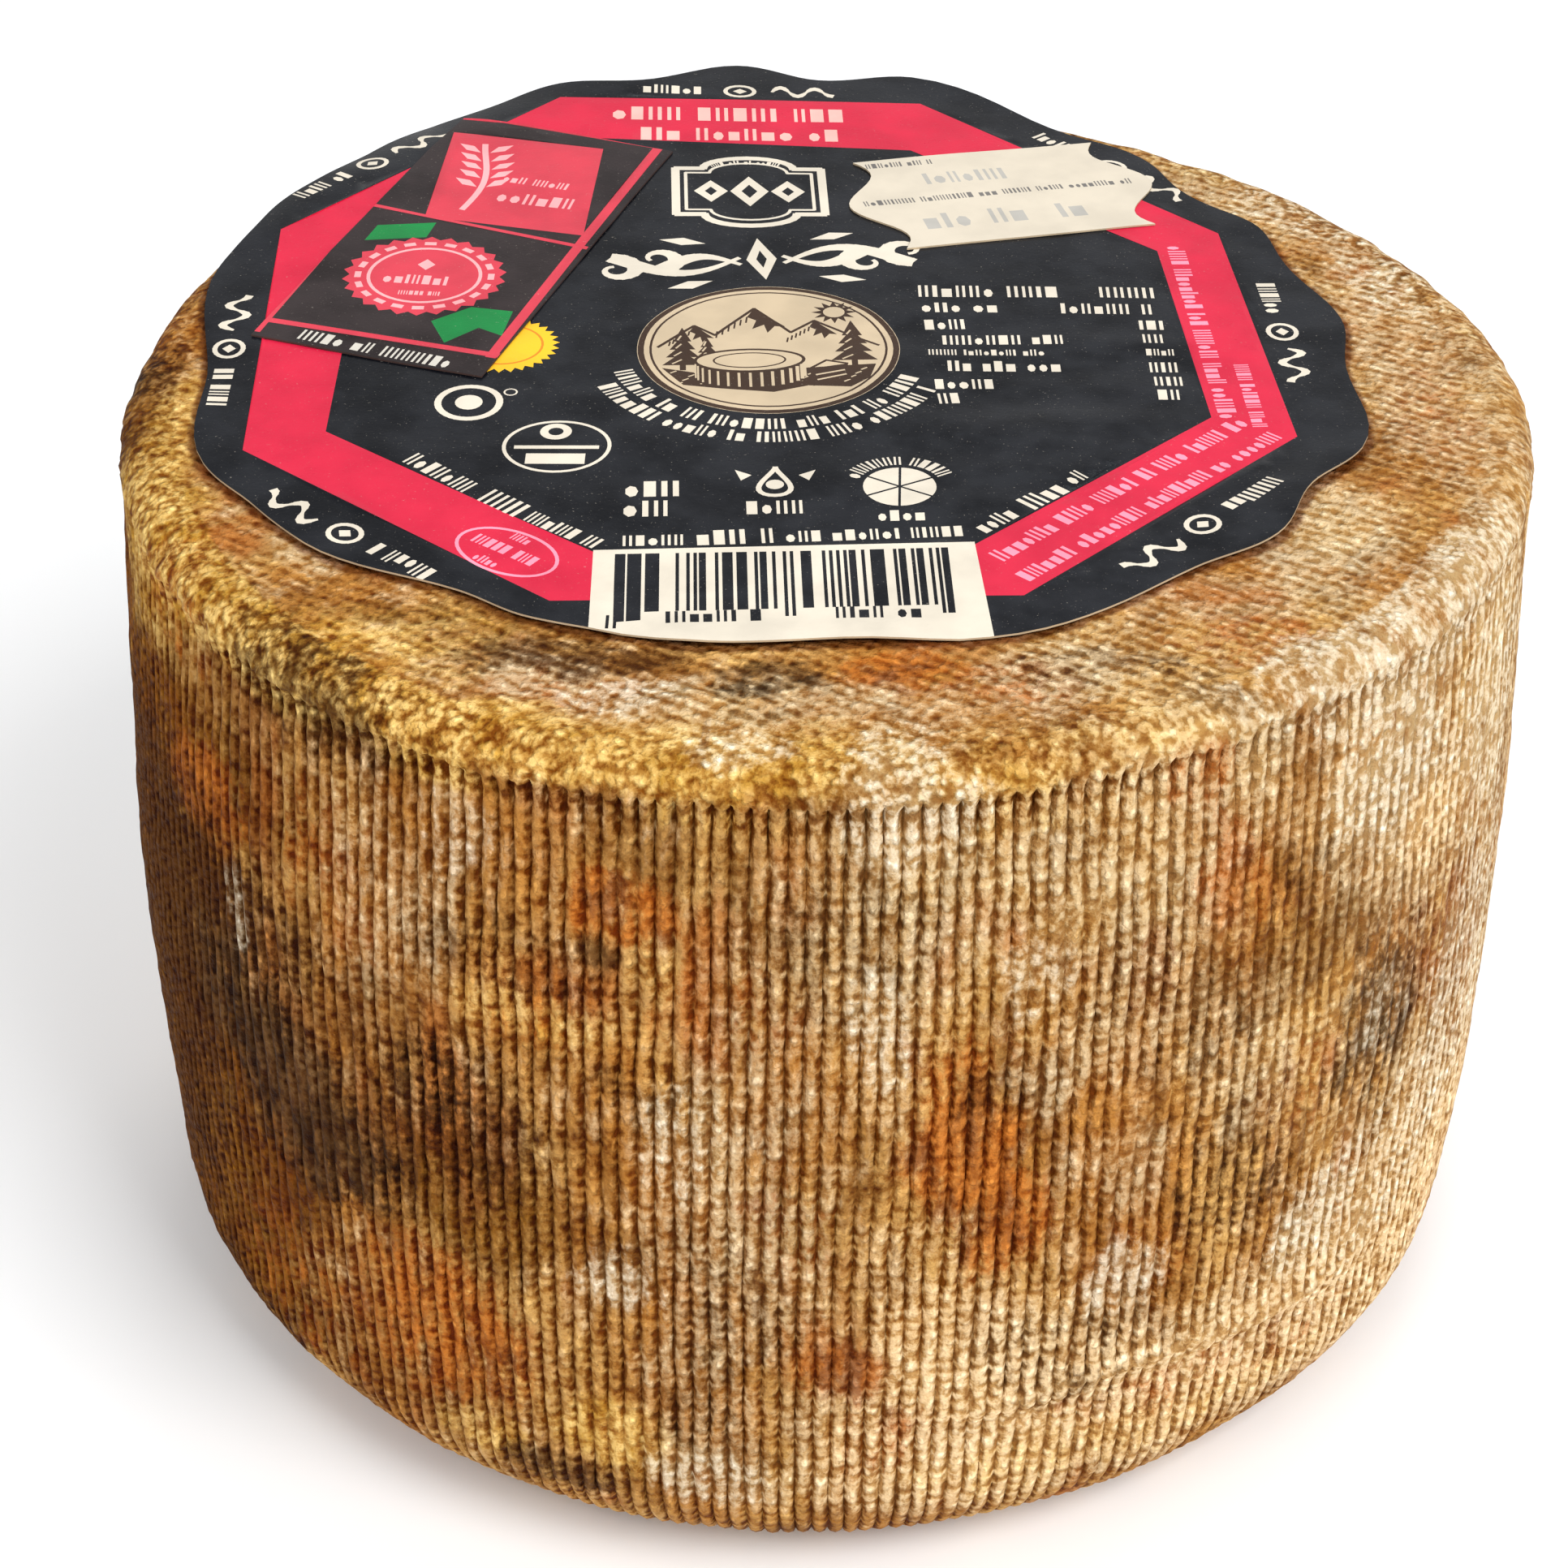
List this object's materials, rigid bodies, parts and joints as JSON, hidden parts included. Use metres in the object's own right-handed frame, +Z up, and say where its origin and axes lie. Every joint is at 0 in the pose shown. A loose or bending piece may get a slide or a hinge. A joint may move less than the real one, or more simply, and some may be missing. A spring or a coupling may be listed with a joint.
{
  "type": "roncal cheese",
  "caption": "Small drum of hard aged ewe's milk cheese with a ribbed, mottled rind, a scalloped paper label on top and stickers on the label.",
  "frame": {"origin": "centre of the flat base that the cheese rests on", "axes": "+Z up along the drum's axis; -Y is the side of the label's lower edge, which faces the viewer; +X to the viewer's right"},
  "size_m": [0.1164, 0.1165, 0.0823],
  "materials": {
    "rind": "matte",
    "label_paper": "satin",
    "seal_paper": "satin",
    "date_paper": "matte"
  },
  "bodies": {
    "root": {"cheese_wheel": "rind", "paper_label": "label_paper", "seal_sticker": "seal_paper", "date_sticker": "date_paper"}
  },
  "joints": []
}
